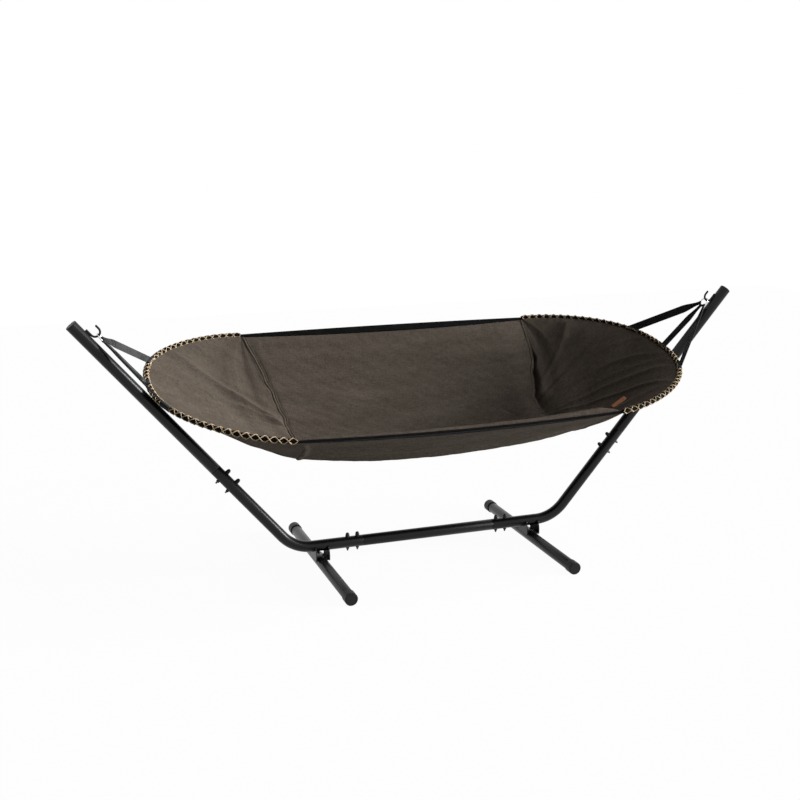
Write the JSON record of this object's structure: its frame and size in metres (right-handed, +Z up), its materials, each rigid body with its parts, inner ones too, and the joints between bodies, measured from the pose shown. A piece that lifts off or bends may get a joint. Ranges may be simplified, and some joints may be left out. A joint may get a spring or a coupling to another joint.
{
  "type": "hammock with stand",
  "caption": "Canvas sling with laced spreader hoops that swings from hooks on a free-standing tubular steel stand",
  "frame": {"origin": "on the ground, at the middle of the whole object's box", "axes": "+X along the stand towards its right arm, +Y towards the far side, +Z up"},
  "size_m": [3.0852, 1.0634, 1.1682],
  "materials": {
    "powder_coat": "satin black powder coat on steel tube",
    "black_plastic": "fine-grained black moulded plastic",
    "black_steel": "blackened steel fasteners",
    "ring_steel": "bright steel wire",
    "canvas": "taupe woven canvas",
    "webbing": "black woven webbing",
    "hoop_sleeve": "padded black woven sleeve",
    "lacing_cord": "beige twisted cord",
    "leather": "brown leather, blank"
  },
  "bodies": {
    "stand": {"base_tube": "powder_coat", "left_corner_tube": "powder_coat", "left_arm_tube": "powder_coat", "left_arm_cap": "black_plastic", "left_hook": "powder_coat", "left_foot_tube": "powder_coat", "left_foot_bracket": "powder_coat", "left_foot_near_cap": "black_plastic", "left_foot_far_cap": "black_plastic", "left_base_1_knob_bolt": "black_plastic", "left_base_1_nut": "black_steel", "left_base_2_knob_bolt": "black_plastic", "left_base_2_nut": "black_steel", "left_arm_1_knob_bolt": "black_plastic", "left_arm_1_nut": "black_steel", "left_arm_2_knob_bolt": "black_plastic", "left_arm_2_nut": "black_steel", "left_foot_near_bolt": "black_steel", "left_foot_near_insert": "black_steel", "left_foot_far_bolt": "black_steel", "left_foot_far_insert": "black_steel", "right_corner_tube": "powder_coat", "right_arm_tube": "powder_coat", "right_arm_cap": "black_plastic", "right_hook": "powder_coat", "right_foot_tube": "powder_coat", "right_foot_bracket": "powder_coat", "right_foot_near_cap": "black_plastic", "right_foot_far_cap": "black_plastic", "right_base_1_knob_bolt": "black_plastic", "right_base_1_nut": "black_steel", "right_base_2_knob_bolt": "black_plastic", "right_base_2_nut": "black_steel", "right_arm_1_knob_bolt": "black_plastic", "right_arm_1_nut": "black_steel", "right_arm_2_knob_bolt": "black_plastic", "right_arm_2_nut": "black_steel", "right_foot_near_bolt": "black_steel", "right_foot_near_insert": "black_steel", "right_foot_far_bolt": "black_steel", "right_foot_far_insert": "black_steel"},
    "sling": {"centre_panel": "canvas", "near_edge_webbing": "webbing", "far_edge_webbing": "webbing", "tag": "leather", "left_ring": "ring_steel", "left_hoop": "hoop_sleeve", "left_lacing": "lacing_cord", "left_end_panel": "canvas", "left_near_strap": "webbing", "left_middle_strap": "webbing", "left_far_strap": "webbing", "right_ring": "ring_steel", "right_hoop": "hoop_sleeve", "right_lacing": "lacing_cord", "right_end_panel": "canvas", "right_near_strap": "webbing", "right_middle_strap": "webbing", "right_far_strap": "webbing"}
  },
  "joints": [
    {"name": "sling_swing", "type": "hinge", "parent": "stand", "child": "sling", "pos_m": [0, -0.06173, 1.10444], "axis": [1, 0, 0], "range_deg": [-31.4, 4.6]}
  ]
}
